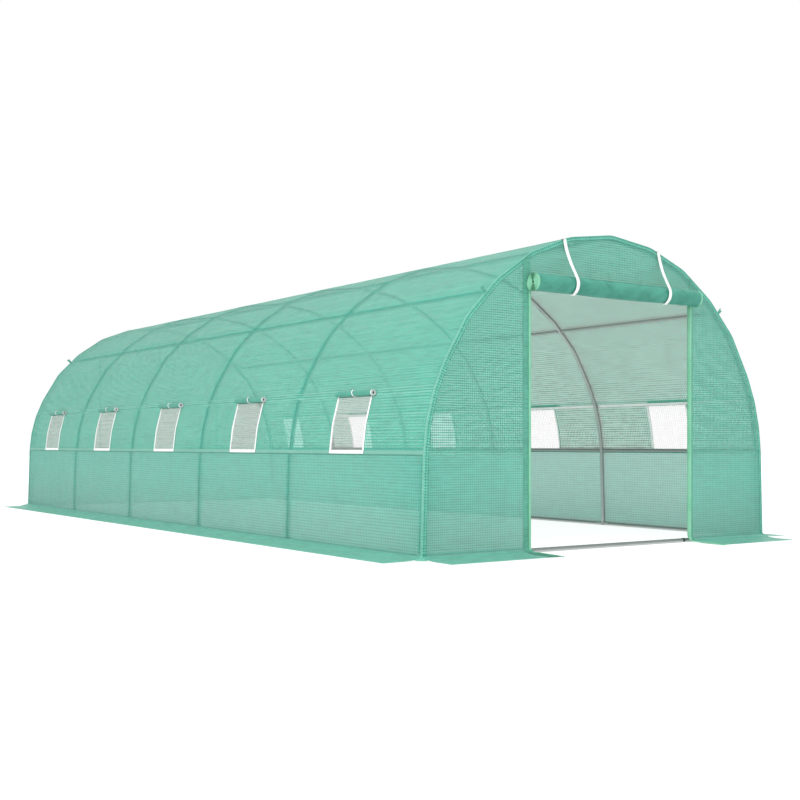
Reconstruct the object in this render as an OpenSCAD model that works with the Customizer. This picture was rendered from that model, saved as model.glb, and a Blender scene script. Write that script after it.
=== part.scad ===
// Polytunnel greenhouse: arched tube frame under a woven film cover.
// Y runs along the tunnel with the open doorway at -Y, X across it, Z up.
// The origin is on the ground in the middle of the tunnel.

/* [Tunnel] */
// Length of the cover from end panel to end panel
cover_length = 7280; // [7000:10:7600]
// Width of the cover at the ground
cover_width = 3000; // [2800:10:3200]
// Height of the ridge above the ground
ridge_height = 2008; // [1980:2:2100]
// Thickness of the cover
film_t = 2; // [1:0.5:4]

/* [Frame] */
// Outside diameter of the frame tubes
tube_d = 28; // [22:1:34]
// Distance between the first two hoops, at the open end
front_bay = 1540; // [1400:10:1600]
// Distance of the end hoops behind the end panels
end_inset = 40; // [30:1:60]
// Distance of the upper purlins along the roof below the third bend
purlin_drop = 100; // [60:10:220]

/* [Skirts] */
// Width of the flaps that lie on the ground along the sides
side_skirt_w = 270; // [150:10:400]
// Width of the flaps that lie on the ground along the ends
end_skirt_w = 275; // [150:5:400]

/* [Windows] */
// Number of windows on each side
window_count = 5; // [1:2:5]
// Width of a window along the tunnel
window_w = 405; // [300:5:500]
// Spacing of the left-hand windows along the tunnel
window_pitch = 1424; // [1380:2:1440]
// Distance of the middle left-hand window behind the middle of the tunnel
window_shift = 56; // [0:2:80]
// Spacing of the right-hand windows along the tunnel
right_window_pitch = 1464; // [1440:2:1480]
// Distance of the middle right-hand window behind the middle of the tunnel
right_window_shift = 118; // [80:2:140]
// Width of the white binding at the sides of a window
frame_w = 18; // [12:1:30]
// Width of the white binding along the foot of a window
frame_foot = 28; // [16:1:40]
// Diameter of a rolled-up window flap
flap_d = 40; // [30:1:50]
// Length of a rolled-up window flap
flap_len = 430; // [410:10:520]
// Distance of a rolled-up window flap in front of the middle of its window
flap_shift = 20; // [0:2:30]
// Width of the tie round a rolled-up flap
flap_tie_w = 18; // [10:1:30]

/* [Door] */
// Width of the doorway
door_w = 1425; // [1200:5:1440]
// Sideways offset of the doorway
door_shift = 22.5; // [0:0.5:40]
// Height of the doorway under the rolled-up door panel
door_h = 1590; // [1500:10:1620]
// Diameter of the rolled-up door panel
roll_d = 116; // [90:2:120]
// Length of the rolled-up door panel
roll_len = 1455; // [1430:5:1560]
// Sideways offset of the rolled-up door panel
roll_shift = 7.5; // [0:0.5:60]
// Width of the zip binding on the jambs
binding_w = 16; // [10:1:24]
// Depth of the binding's return into the doorway
binding_return = 22; // [16:1:24]
// Width of a door strap
strap_w = 25; // [15:1:40]
// Spacing of the two door straps
strap_gap = 820; // [600:10:1000]
// Height where the door straps leave the end panel
strap_top = 1935; // [1900:5:1940]

/* [Tabs] */
// Length of a tie tab
tab_len = 50; // [30:1:70]
// Width of a tie tab
tab_w = 20; // [12:1:30]

/* [Hidden] */
$fn = 32;

film_green = [0.42, 0.78, 0.66];
dark_green = [0.20, 0.58, 0.44];
zip_green = [0.52, 0.84, 0.65];
zinc = [0.62, 0.64, 0.66];
white = [0.93, 0.94, 0.93];
net_grey = [0.80, 0.83, 0.82];

// Half of the arch from the ridge to the ground, for a tunnel 3000 wide and
// 2008 high: five chords of roof, two chords of window band, then the wall.
ARCH = [[0, 2008], [360, 1961], [675, 1840], [945, 1655], [1170, 1425],
        [1340, 1140], [1415, 965], [1460, 790], [1480, 620], [1500, 0]];
LAST = len(ARCH) - 1;
WINDOW_TOP = 6;
RAIL = 8;

hair = 0.3;
half_l = cover_length / 2;
tube_depth = film_t + 1 + tube_d / 2;
first_y = -half_l + end_inset;
bay = (cover_length - 2 * end_inset - front_bay) / 4;
HOOP_Y = concat([first_y], [for (k = [0 : 4]) first_y + front_bay + k * bay]);
function window_y(side) = [for (k = [0 : window_count - 1])
    (side < 0 ? window_shift : right_window_shift)
    + (k - (window_count - 1) / 2) * (side < 0 ? window_pitch : right_window_pitch)];

// Point i of the arch, and the mitred point at a depth inside it
function arch(i) = [ARCH[i][0] * cover_width / 3000, ARCH[i][1] * ridge_height / 2008];
function run(i) = arch(i + 1) - arch(i);
function dir(i) = run(i) / norm(run(i));
function inward(i) = [dir(i)[1], -dir(i)[0]];
function deep(i, d) =
    i == 0 ? arch(0) + [0, d / inward(0)[1]] :
    i == LAST ? arch(i) + d * inward(i - 1) - dir(i - 1) * (d * inward(i - 1)[1] / dir(i - 1)[1]) :
    arch(i) + d * (inward(i - 1) + inward(i)) / (1 + inward(i - 1) * inward(i));
// Point on chord i, at a distance along it and a depth inside it
function on(i, s, d) = arch(i) + dir(i) * s + inward(i) * d;

// Extrude an outline in X and Z from y0 to y1; side -1 mirrors it to the left
module across(side, y0, y1) {
    mirror([side < 0 ? 1 : 0, 0, 0])
        translate([0, y1, 0]) rotate([90, 0, 0])
            linear_extrude(y1 - y0) children();
}

// Flat slab on chord i of the arch between two depths
module facet(side, i, d0, d1, y0, y1) {
    g = dir(i) * hair;
    across(side, y0, y1)
        polygon([deep(i, d0) + g, deep(i + 1, d0) - g, deep(i + 1, d1) - g, deep(i, d1) + g]);
}

// Flat strip on chord i between two distances along it
module strip(side, i, s0, s1, d0, d1, y0, y1) {
    across(side, y0, y1)
        polygon([on(i, s0, d0), on(i, s1, d0), on(i, s1, d1), on(i, s0, d1)]);
}

// One straight tube length of a hoop, cut on the mitre at both bends
module hoop_length(side, i, y) {
    p = deep(i, tube_depth);
    q = deep(i + 1, tube_depth);
    g = dir(i) * hair;
    r = tube_d / 2 + 4;
    a = deep(i, tube_depth - r);
    b = deep(i + 1, tube_depth - r);
    c = deep(i + 1, tube_depth + r);
    d = deep(i, tube_depth + r);
    intersection() {
        mirror([side < 0 ? 1 : 0, 0, 0])
            translate([p[0] - dir(i)[0] * 40, y, p[1] - dir(i)[1] * 40])
                rotate([0, atan2(dir(i)[0], dir(i)[1]), 0])
                    cylinder(h = norm(q - p) + 80, d = tube_d);
        across(side, y - r, y + r) polygon([a + g, b - g, c - g, d + g]);
    }
}

module hoop(k) {
    color(zinc)
        for (side = [-1, 1], i = [0 : LAST - 1]) hoop_length(side, i, HOOP_Y[k]);
}

// Row of tubes along the tunnel, one in each bay, butted against the hoops
module bay_tubes(x, z) {
    color(zinc)
        for (k = [0 : len(HOOP_Y) - 2])
            translate([x, HOOP_Y[k] + tube_d / 2 + 1, z]) rotate([-90, 0, 0])
                cylinder(h = HOOP_Y[k + 1] - HOOP_Y[k] - tube_d - 2, d = tube_d);
}

module ridge_pole() { bay_tubes(0, deep(0, tube_depth)[1]); }

module upper_purlin(side) {
    p = on(3, purlin_drop, tube_depth);
    bay_tubes(side * p[0], p[1]);
}

module side_rail(side) {
    p = deep(RAIL, tube_depth);
    bay_tubes(side * p[0], p[1]);
}

module base_rail(side) {
    p = deep(LAST, tube_depth);
    bay_tubes(side * p[0], tube_d / 2);
}

// Ground tube across an end, between the feet of the end hoop
module end_rail(end) {
    x = deep(LAST, tube_depth)[0] - tube_d / 2 - 1;
    color(zinc)
        translate([-x, end * (half_l - end_inset), tube_d / 2]) rotate([0, 90, 0])
            cylinder(h = 2 * x, d = tube_d);
}

module roof_cover(side) {
    color(film_green)
        for (i = [0 : WINDOW_TOP - 1]) facet(side, i, 0, film_t, -half_l, half_l);
}

// Ends of the stretches of cover between the windows
function pier_y(side) = concat([-half_l],
    [for (y = window_y(side), e = [-1, 1]) y + e * window_w / 2], [half_l]);

module side_cover(side) {
    pier = pier_y(side);
    color(film_green) {
        for (i = [WINDOW_TOP : RAIL - 1], k = [0 : 2 : len(pier) - 2])
            facet(side, i, 0, film_t, pier[k], pier[k + 1]);
        strip(side, RAIL, hair, norm(run(RAIL)) - film_t - 0.5, 0, film_t, -half_l, half_l);
    }
}

// Outline of an end panel inside the cover, from the ground up
module end_outline() {
    d = film_t + 0.5;
    polygon(concat(
        [for (i = [0 : LAST]) deep(i, d)],
        [for (i = [LAST : -1 : 1]) [-deep(i, d)[0], deep(i, d)[1]]]));
}

// Part of an end panel between two widths, above a height
module end_panel(end, x0, x1, z0) {
    y0 = end < 0 ? -half_l : half_l - film_t;
    color(film_green)
        translate([0, y0 + film_t, 0]) rotate([90, 0, 0]) linear_extrude(film_t)
            intersection() {
                end_outline();
                translate([x0, z0]) square([x1 - x0, ridge_height]);
            }
}

// Edges of the doorway, and of the panels beside it
function jamb(side) = door_shift + side * door_w / 2;
function panel_edge(side) = jamb(side) + side * 3;
module side_of_door(end, side) {
    end_panel(end, side < 0 ? -cover_width : panel_edge(1),
        side < 0 ? panel_edge(-1) : cover_width, film_t + 0.5);
}
module over_door(end) { end_panel(end, panel_edge(-1) + 0.6, panel_edge(1) - 0.6, door_h + 30); }

// Zipped door panel between the jambs, just inside the bindings
module back_door_panel() {
    color(film_green)
        translate([jamb(-1) + 3, half_l - film_t, film_t + 0.5])
            cube([door_w - 6, film_t, door_h + 29 - film_t]);
}

// Binding on both jambs: a strip on the face and a return into the doorway
module jamb_bindings(end) {
    y = end * half_l;
    z0 = film_t + 4;
    color(zip_green)
        for (side = [-1, 1]) {
            x = jamb(side);
            translate([side < 0 ? x - binding_w : x, end < 0 ? y - 3 : y + 0.5, z0])
                cube([binding_w, 2.5, door_h - z0]);
            translate([side < 0 ? x : x - 2, end < 0 ? y + 0.5 : y - binding_return - 0.5, z0])
                cube([2, binding_return, door_h - z0]);
        }
}

module side_skirt(side) {
    x0 = cover_width / 2 - film_t;
    x1 = cover_width / 2 + side_skirt_w;
    color(film_green)
        translate([side < 0 ? -x1 : x0, -half_l, 0])
            cube([x1 - x0, cover_length, film_t]);
}

module end_skirt(end, side) {
    x0 = jamb(side);
    x1 = side * (cover_width / 2 - 2 * film_t);
    y0 = half_l - film_t;
    y1 = half_l + end_skirt_w;
    color(film_green)
        translate([min(x0, x1), end < 0 ? -y1 : y0, 0])
            cube([abs(x1 - x0), y1 - y0, film_t]);
}

// Net over the two chords of each window
module window_nets(side) {
    color(net_grey)
        for (y = window_y(side), i = [WINDOW_TOP : RAIL - 1])
            facet(side, i, 0.5, 1.5, y - window_w / 2 + hair, y + window_w / 2 - hair);
}

// Binding sewn round each window, on the face of the net and cover
module window_frames(side) {
    i0 = WINDOW_TOP;
    i1 = RAIL - 1;
    color(white)
        for (y = window_y(side)) {
            for (e = [-1, 1], i = [i0, i1])
                facet(side, i, -2, 0,
                    y + e * window_w / 2 - (e > 0 ? frame_w : 0),
                    y + e * window_w / 2 + (e < 0 ? frame_w : 0));
            strip(side, i1, norm(run(i1)) - frame_foot, norm(run(i1)) - 1, -2, 0,
                y - window_w / 2 + frame_w + hair, y + window_w / 2 - frame_w - hair);
            strip(side, i0, 1, frame_w, -2, 0,
                y - window_w / 2 + frame_w + hair, y + window_w / 2 - frame_w - hair);
        }
}

// Centre of a rolled-up flap: on the last chord of the roof, above the window
flap_c = on(WINDOW_TOP - 1, norm(run(WINDOW_TOP - 1)) - 14, -flap_d / 2 - 1);

module window_rolls(side) {
    color(dark_green)
        for (y = window_y(side))
            translate([side * flap_c[0], y - flap_shift - flap_len / 2, flap_c[1]]) rotate([-90, 0, 0])
                cylinder(h = flap_len, d = flap_d);
}

module window_ties(side) {
    color(white)
        for (y = window_y(side))
            translate([side * flap_c[0], y - flap_shift - flap_tie_w / 2, flap_c[1]]) rotate([-90, 0, 0])
                difference() {
                    cylinder(h = flap_tie_w, d = flap_d + 1.6);
                    translate([0, 0, -1]) cylinder(h = flap_tie_w + 2, d = flap_d + 0.6);
                }
}

roll_y = -half_l - roll_d / 2 - 2;
roll_z = door_h + roll_d / 2;

module front_door_roll() {
    color(dark_green)
        translate([roll_shift - roll_len / 2, roll_y, roll_z]) rotate([0, 90, 0])
            cylinder(h = roll_len, d = roll_d);
}

// Side view of a strap, Y to the right and Z up: straight from the end panel
// to the front of the roll, then round the roll to its underside
strap_t = 2;
function round_roll(r) = [for (a = [200 : 10 : 280]) [roll_y + r * cos(a - 30), roll_z + r * sin(a - 30)]];
module strap_outline() {
    r = roll_d / 2 + 1;
    polygon(concat(
        [[-half_l - 1, strap_top], [-half_l - 1 - strap_t, strap_top]],
        round_roll(r + strap_t),
        [for (k = [8 : -1 : 0]) round_roll(r)[k]]));
}

module front_door_straps() {
    color(white)
        for (e = [-1, 1])
            translate([e * strap_gap / 2 - strap_w / 2, 0, 0])
                rotate([90, 0, 90]) linear_extrude(strap_w) strap_outline();
}

// Tabs stand out of the cover at the height of the upper purlins
module tie_tabs() {
    color(dark_green)
        for (side = [-1, 1], end = [-1, 1]) {
            y = end * (half_l - end_inset);
            s = purlin_drop;
            strip(side, 3, s - tab_w / 2, s + tab_w / 2, -1 - tab_len, -1, y - 1.5, y + 1.5);
        }
}

hoop(0);  // hoop_1
hoop(1);  // hoop_2
hoop(2);  // hoop_3
hoop(3);  // hoop_4
hoop(4);  // hoop_5
hoop(5);  // hoop_6
ridge_pole();
upper_purlin(-1);  // left_upper_purlin
upper_purlin(1);  // right_upper_purlin
side_rail(-1);  // left_side_rail
side_rail(1);  // right_side_rail
base_rail(-1);  // left_base_rail
base_rail(1);  // right_base_rail
end_rail(-1);  // front_base_rail
end_rail(1);  // back_base_rail
roof_cover(-1);  // left_roof_cover
roof_cover(1);  // right_roof_cover
side_cover(-1);  // left_side_cover
side_cover(1);  // right_side_cover
side_of_door(-1, -1);  // front_left_panel
side_of_door(-1, 1);  // front_right_panel
over_door(-1);  // front_top_panel
side_of_door(1, -1);  // back_left_panel
side_of_door(1, 1);  // back_right_panel
over_door(1);  // back_top_panel
back_door_panel();
side_skirt(-1);  // left_skirt
side_skirt(1);  // right_skirt
end_skirt(-1, -1);  // front_left_skirt
end_skirt(-1, 1);  // front_right_skirt
end_skirt(1, -1);  // back_left_skirt
end_skirt(1, 1);  // back_right_skirt
window_nets(-1);  // left_window_nets
window_nets(1);  // right_window_nets
window_frames(-1);  // left_window_frames
window_frames(1);  // right_window_frames
window_rolls(-1);  // left_window_rolls
window_rolls(1);  // right_window_rolls
window_ties(-1);  // left_window_ties
window_ties(1);  // right_window_ties
front_door_roll();
front_door_straps();
jamb_bindings(-1);  // front_door_bindings
jamb_bindings(1);  // back_door_zips
tie_tabs();
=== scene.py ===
import math

import bpy
import numpy as np
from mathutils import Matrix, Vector
from mathutils.geometry import delaunay_2d_cdt


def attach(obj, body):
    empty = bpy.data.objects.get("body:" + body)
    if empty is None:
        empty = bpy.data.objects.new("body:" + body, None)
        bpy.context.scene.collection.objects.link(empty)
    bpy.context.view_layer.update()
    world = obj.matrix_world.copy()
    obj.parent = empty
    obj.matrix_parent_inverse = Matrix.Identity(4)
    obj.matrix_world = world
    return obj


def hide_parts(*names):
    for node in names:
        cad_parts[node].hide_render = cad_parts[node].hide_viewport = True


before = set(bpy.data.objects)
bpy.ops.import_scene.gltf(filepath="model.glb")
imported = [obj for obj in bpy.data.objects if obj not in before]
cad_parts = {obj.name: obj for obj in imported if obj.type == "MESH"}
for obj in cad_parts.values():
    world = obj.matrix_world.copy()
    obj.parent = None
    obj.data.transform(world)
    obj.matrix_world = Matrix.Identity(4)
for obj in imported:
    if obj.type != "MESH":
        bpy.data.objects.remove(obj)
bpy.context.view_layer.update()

scene = bpy.context.scene
scene.view_settings.view_transform = "Standard"

# ---------------------------------------------------------------- camera
cam_data = bpy.data.cameras.new("photo_camera")
cam_data.sensor_fit = "HORIZONTAL"
cam_data.sensor_width = 36.0
cam_data.lens = 52.69
cam_data.shift_y = 0.0556
cam_data.clip_end = 200.0
cam = bpy.data.objects.new("photo_camera", cam_data)
scene.collection.objects.link(cam)
cam.location = (-5.403, -9.048, 0.665)
cam.rotation_euler = (math.pi / 2, 0.0, -math.radians(34.727))
scene.camera = cam

# ---------------------------------------------------------------- sizes, metres, as in the frame
ARCH = [(0.0, 2.008), (0.360, 1.961), (0.675, 1.840), (0.945, 1.655), (1.170, 1.425),
        (1.340, 1.140), (1.415, 0.965), (1.460, 0.790), (1.480, 0.620), (1.500, 0.0)]
HALF_L = 3.64
HOOP_Y = [-3.60, -2.060, -0.645, 0.770, 2.185, 3.60]
WIN_Y = {-1: [-2.792, -1.368, 0.056, 1.480, 2.904], 1: [-2.810, -1.346, 0.118, 1.582, 3.046]}
WIN_W = 0.397
FRAME_HALF = 0.2025
TUBE_R = 0.014
TUBE_DEPTH = 0.017
CREASE_Z = 0.028
JAMB = {-1: 0.690, 1: 0.735}
ROLL_X = (-0.720, 0.735)
PURLIN_DROP = 0.100
ROLL_R = 0.058
ROLL_Y, ROLL_Z = -HALF_L - ROLL_R - 0.002, 1.59 + ROLL_R
FLAP_R = 0.020


# ---------------------------------------------------------------- node helpers
class Nodes:
    def __init__(self, name):
        self.mat = bpy.data.materials.new(name)
        self.mat.use_nodes = True
        self.tree = self.mat.node_tree
        self.tree.nodes.clear()

    def add(self, kind, **props):
        n = self.tree.nodes.new(kind)
        for k, v in props.items():
            setattr(n, k, v)
        return n

    def put(self, socket, value):
        if isinstance(value, bpy.types.NodeSocket):
            self.tree.links.new(value, socket)
        elif value is not None:
            socket.default_value = value

    def math(self, op, a, b=None, c=None, clamp=False):
        n = self.add("ShaderNodeMath", operation=op, use_clamp=clamp)
        for s, v in zip(n.inputs, (a, b, c)):
            self.put(s, v)
        return n.outputs[0]

    def ramp(self, value, f0, f1, t0, t1):
        n = self.add("ShaderNodeMapRange", interpolation_type="SMOOTHSTEP")
        for s, v in zip(n.inputs[:5], (value, f0, f1, t0, t1)):
            self.put(s, v)
        return n.outputs[0]

    def mix(self, fac, a, b):
        n = self.add("ShaderNodeMix", data_type="RGBA")
        self.put(n.inputs[0], fac)
        self.put(n.inputs[6], a)
        self.put(n.inputs[7], b)
        return n.outputs[2]

    def noise(self, vector, scale, detail=3.0, rough=0.55):
        n = self.add("ShaderNodeTexNoise")
        self.put(n.inputs["Vector"], vector)
        n.inputs["Scale"].default_value = scale
        n.inputs["Detail"].default_value = detail
        n.inputs["Roughness"].default_value = rough
        return n.outputs["Fac"]

    def place(self):
        return self.add("ShaderNodeTexCoord").outputs["Object"]

    def stretch(self, vector, scale):
        n = self.add("ShaderNodeMapping")
        self.put(n.inputs["Vector"], vector)
        n.inputs["Scale"].default_value = scale
        return n.outputs[0]

    def bump(self, height, strength, distance):
        n = self.add("ShaderNodeBump")
        n.inputs["Strength"].default_value = strength
        n.inputs["Distance"].default_value = distance
        self.put(n.inputs["Height"], height)
        return n.outputs[0]

    def vector(self, x, y, z):
        n = self.add("ShaderNodeCombineXYZ")
        for s, v in zip(n.inputs, (x, y, z)):
            self.put(s, v)
        return n.outputs[0]

    def weave_uv(self):
        n = self.add("ShaderNodeUVMap", uv_map="weave")
        s = self.add("ShaderNodeSeparateXYZ")
        self.tree.links.new(n.outputs[0], s.inputs[0])
        return s.outputs[0], s.outputs[1]

    def threads(self, coord, pitch, width, soft):
        """1 on a thread, 0 between threads, along one direction of a weave."""
        tri = self.math("PINGPONG", coord, pitch / 2)
        return self.ramp(tri, width / 2 - soft, width / 2 + soft, 1.0, 0.0)

    def principled(self, **inputs):
        n = self.add("ShaderNodeBsdfPrincipled")
        for k, v in inputs.items():
            self.put(n.inputs[k.replace("_", " ")], v)
        return n.outputs[0]

    def out(self, shader):
        o = self.add("ShaderNodeOutputMaterial")
        self.tree.links.new(shader, o.inputs[0])
        return self.mat


def rgba(r, g, b):
    return (r, g, b, 1.0)


def scaled(colour, f):
    return tuple(min(1.0, f * c) for c in colour[:3]) + (1.0,)


def film(name, cell, thread, cell_alpha, thread_alpha, cell_glow, thread_glow, cell_share, thread_share, pitch,
         foot=(rgba(0.154, 0.475, 0.367), rgba(0.113, 0.397, 0.30)), low_glow=(rgba(0.88, 0.99, 0.965), rgba(0.71, 0.82, 0.795)),
         low=(rgba(0.064, 0.428, 0.326), rgba(0.016, 0.306, 0.223)), width=0.32, rib=1.1, uneven=0.10):
    """Woven film: a square scrim of flat threads, every second one along the sheet a rib, with thin clear cells
    between. Every thread has thick and thin stretches. The mesh attribute "guard" closes the cells towards the
    foot of the walls and on the skirts."""
    k = Nodes(name)
    u, v = k.weave_uv()
    soft = 0.05 * pitch
    tu = k.threads(u, pitch, width * pitch, soft)
    tv = k.threads(v, pitch, width * pitch, soft)
    tv = k.math("MAXIMUM", tv, k.threads(v, 2 * pitch, width * rib * pitch, soft))
    grid = k.math("MAXIMUM", tu, tv)
    cross = k.math("MULTIPLY", tu, tv)
    row = k.math("FLOOR", k.math("MULTIPLY_ADD", v, 1.0 / pitch, 0.5))
    col = k.math("FLOOR", k.math("MULTIPLY_ADD", u, 1.0 / pitch, 0.5))
    weft = k.noise(k.vector(k.math("MULTIPLY", u, 8.0), k.math("MULTIPLY", row, 3.7), 0.0), 1.0, 2.0)
    warp = k.noise(k.vector(k.math("MULTIPLY", col, 3.7), k.math("MULTIPLY", v, 5.5), 9.0), 1.0, 2.0)
    where = k.place()
    cloud = k.noise(where, 1.3, 3.0)
    streak = k.noise(k.stretch(where, (14.0, 14.0, 2.2)), 1.0, 4.0)
    slub = k.math("ADD", k.math("MULTIPLY", weft, 0.55), k.math("MULTIPLY", warp, 0.25))
    slub = k.math("ADD", slub, k.math("MULTIPLY", k.math("ADD", cloud, streak), 0.10))
    fine = k.math("MULTIPLY",
                  k.math("SINE", k.math("MULTIPLY", u, 2 * math.pi / 0.0025)),
                  k.math("SINE", k.math("MULTIPLY", v, 2 * math.pi / 0.0025)))
    guard = k.add("ShaderNodeAttribute", attribute_name="guard").outputs["Fac"]
    laid = k.ramp(guard, 0.86, 0.99, 0.0, 1.0)
    tone = k.ramp(slub, 0.40, 0.60, 0.0, 1.0)
    lower = k.ramp(guard, 0.05, 0.65, 0.0, 1.0)
    # the wall turns darker towards its foot
    darker_to_foot = k.ramp(guard, 0.785, 0.855, 0.0, 0.24)

    def shade(f):
        wall = k.mix(lower, k.mix(grid, scaled(cell, f), scaled(thread, f)),
                     k.mix(grid, scaled(low[0], f), scaled(low[1], f)))
        wall = k.mix(darker_to_foot, wall, scaled(low[1], 0.5 * f))
        return k.mix(laid, wall, k.mix(grid, scaled(foot[0], f), scaled(foot[1], f)))

    base = k.mix(tone, shade(1 - uneven), shade(1 + uneven))
    alpha = k.ramp(grid, 0.0, 1.0, cell_alpha, thread_alpha)
    alpha = k.math("ADD", alpha, k.ramp(slub, 0.40, 0.60, 0.045, -0.045))
    alpha = k.math("ADD", alpha, k.math("MULTIPLY", cross, 0.03), clamp=True)
    closed = k.math("SUBTRACT", 0.945, alpha)
    alpha = k.math("ADD", alpha, k.math("MULTIPLY", closed, k.math("MULTIPLY", guard, 1.10, clamp=True)), clamp=True)
    height = k.math("ADD", k.math("ADD", k.math("MULTIPLY", grid, 0.8), k.math("MULTIPLY", fine, 0.12)),
                    k.math("MULTIPLY", cross, 0.3))
    normal = k.bump(height, 0.35, 0.0006)
    face = k.principled(Base_Color=base, Roughness=k.ramp(streak, 0.3, 0.7, 0.42, 0.58),
                        Specular_IOR_Level=0.25, Normal=normal)
    glowing = k.add("ShaderNodeBsdfTranslucent")
    k.put(glowing.inputs["Color"], k.mix(lower, k.mix(grid, cell_glow, thread_glow), k.mix(grid, low_glow[0], low_glow[1])))
    k.put(glowing.inputs["Normal"], normal)
    body = k.add("ShaderNodeMixShader")
    k.put(body.inputs[0], k.math("MULTIPLY", k.ramp(grid, 0.0, 1.0, cell_share, thread_share), k.math("SUBTRACT", 1.0, laid)))
    k.put(body.inputs[1], face)
    k.put(body.inputs[2], glowing.outputs[0])
    clear = k.add("ShaderNodeBsdfTransparent")
    clear.inputs["Color"].default_value = rgba(0.88, 1.0, 0.955)
    both = k.add("ShaderNodeMixShader")
    k.put(both.inputs[0], alpha)
    k.put(both.inputs[1], clear.outputs[0])
    k.put(both.inputs[2], body.outputs[0])
    return k.out(both.outputs[0])


def cloth(name, low, high, pitch, rough=0.6, strength=0.4, vary=1.0):
    """Opaque woven tape or many layers of film."""
    k = Nodes(name)
    u, v = k.weave_uv()
    warp = k.math("SINE", k.math("MULTIPLY", u, 2 * math.pi / pitch))
    weft = k.math("SINE", k.math("MULTIPLY", v, 2 * math.pi / pitch))
    weave = k.math("MULTIPLY", warp, weft)
    where = k.place()
    cloud = k.noise(where, 7.0, 4.0)
    fine = k.noise(where, 60.0, 3.0)
    tone = k.math("ADD", k.math("MULTIPLY", cloud, 0.7 * vary), k.math("MULTIPLY", fine, 0.3 * vary))
    tone = k.math("ADD", k.math("ADD", tone, 0.5 - 0.5 * vary), k.math("MULTIPLY", weave, 0.10))
    # the mesh attribute "fold" adds painted shade and painted highlight to the tone
    tone = k.math("ADD", tone, k.add("ShaderNodeAttribute", attribute_name="fold").outputs["Fac"])
    base = k.mix(k.ramp(tone, 0.30, 0.72, 0.0, 1.0), low, high)
    normal = k.bump(k.math("ADD", k.math("MULTIPLY", weave, 0.5), fine), strength, 0.0006)
    return k.out(k.principled(Base_Color=base, Roughness=k.ramp(fine, 0.3, 0.7, rough - 0.08, rough + 0.08),
                              Specular_IOR_Level=0.3, Normal=normal))


def net_material(name):
    """Insect net: fine pale threads, open between them, and heavier ones at a wider spacing."""
    k = Nodes(name)
    u, v = k.weave_uv()
    tu = k.threads(u, 0.0036, 0.0006, 0.0002)
    tv = k.threads(v, 0.0036, 0.0006, 0.0002)
    grid = k.math("MAXIMUM", tu, tv)
    heavy = k.math("MAXIMUM", k.threads(u, 0.0204, 0.0060, 0.0008), k.threads(v, 0.0148, 0.0046, 0.0008))
    where = k.place()
    cloud = k.noise(where, 18.0, 3.0)
    base = k.mix(k.ramp(cloud, 0.3, 0.7, 0.0, 1.0), rgba(0.80, 0.78, 0.785), rgba(0.93, 0.91, 0.915))
    face = k.principled(Base_Color=base, Roughness=0.7, Specular_IOR_Level=0.25)
    through = k.add("ShaderNodeBsdfTranslucent")
    k.put(through.inputs["Color"], base)
    body = k.add("ShaderNodeMixShader")
    k.put(body.inputs[0], k.ramp(cloud, 0.3, 0.7, 0.64, 0.72))
    k.put(body.inputs[1], face)
    k.put(body.inputs[2], through.outputs[0])
    clear = k.add("ShaderNodeBsdfTransparent")
    both = k.add("ShaderNodeMixShader")
    k.put(both.inputs[0], k.math("MAXIMUM", k.ramp(grid, 0.0, 1.0, 0.01, 0.58), k.math("MULTIPLY", heavy, 0.355)))
    k.put(both.inputs[1], clear.outputs[0])
    k.put(both.inputs[2], body.outputs[0])
    return k.out(both.outputs[0])


def galvanised(name, low, high, rough=0.38):
    """Zinc-coated steel; the mesh attribute "outer" paints shade above zero, a near-black face, and a highlight below
    zero, a near-white face.
    """
    k = Nodes(name)
    outer = k.add("ShaderNodeAttribute", attribute_name="outer").outputs["Fac"]
    where = k.place()
    spangle = k.add("ShaderNodeTexVoronoi")
    k.put(spangle.inputs["Vector"], where)
    spangle.inputs["Scale"].default_value = 140.0
    cloud = k.noise(where, 9.0, 4.0)
    fine = k.noise(where, 220.0, 2.0)
    tone = k.math("ADD", k.math("MULTIPLY", spangle.outputs["Distance"], 0.3), k.math("MULTIPLY", cloud, 0.7))
    base = k.mix(k.ramp(tone, 0.25, 0.75, 0.0, 1.0), low, high)
    # painted highlight: below zero "outer" turns the base near white
    base = k.mix(k.ramp(outer, -0.5, 0.0, 1.0, 0.0), base, k.mix(k.ramp(tone, 0.25, 0.75, 0.0, 1.0), rgba(0.86, 0.88, 0.87), rgba(0.93, 0.95, 0.94)))
    # painted shade: above zero "outer" turns the base near black
    base = k.mix(k.ramp(outer, 0.0, 0.6, 0.0, 1.0), base, k.mix(k.ramp(tone, 0.25, 0.75, 0.0, 1.0), rgba(0.030, 0.036, 0.034), rgba(0.055, 0.064, 0.060)))
    normal = k.bump(fine, 0.08, 0.0004)
    return k.out(k.principled(Base_Color=base, Metallic=0.75,
                              Roughness=k.ramp(cloud, 0.3, 0.7, rough - 0.07, rough + 0.09), Normal=normal))


CELL, THREAD_TONE = rgba(0.103, 0.71, 0.53), rgba(0.038, 0.455, 0.332)
CELL_GLOW, THREAD_GLOW = rgba(0.67, 0.37, 0.42), rgba(0.31, 0.085, 0.12)
COVER = film("cover_film", CELL, THREAD_TONE, 0.48, 0.94, CELL_GLOW, THREAD_GLOW, 0.30, 0.28, 0.0185)
PANEL = film("panel_film", rgba(0.205, 0.85, 0.650), rgba(0.042, 0.385, 0.283), 0.47, 0.95, CELL_GLOW, THREAD_GLOW, 0.30, 0.28, 0.0144,
             low=(rgba(0.085, 0.515, 0.398), rgba(0.025, 0.290, 0.212)))
HEM = film("hem_film", rgba(0.180, 0.475, 0.375), rgba(0.140, 0.405, 0.315), 0.965, 0.985,
           rgba(0.55, 0.40, 0.45), rgba(0.50, 0.30, 0.35), 0.05, 0.04, 0.0165, foot=(rgba(0.150, 0.500, 0.390), rgba(0.115, 0.43, 0.33)))
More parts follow.
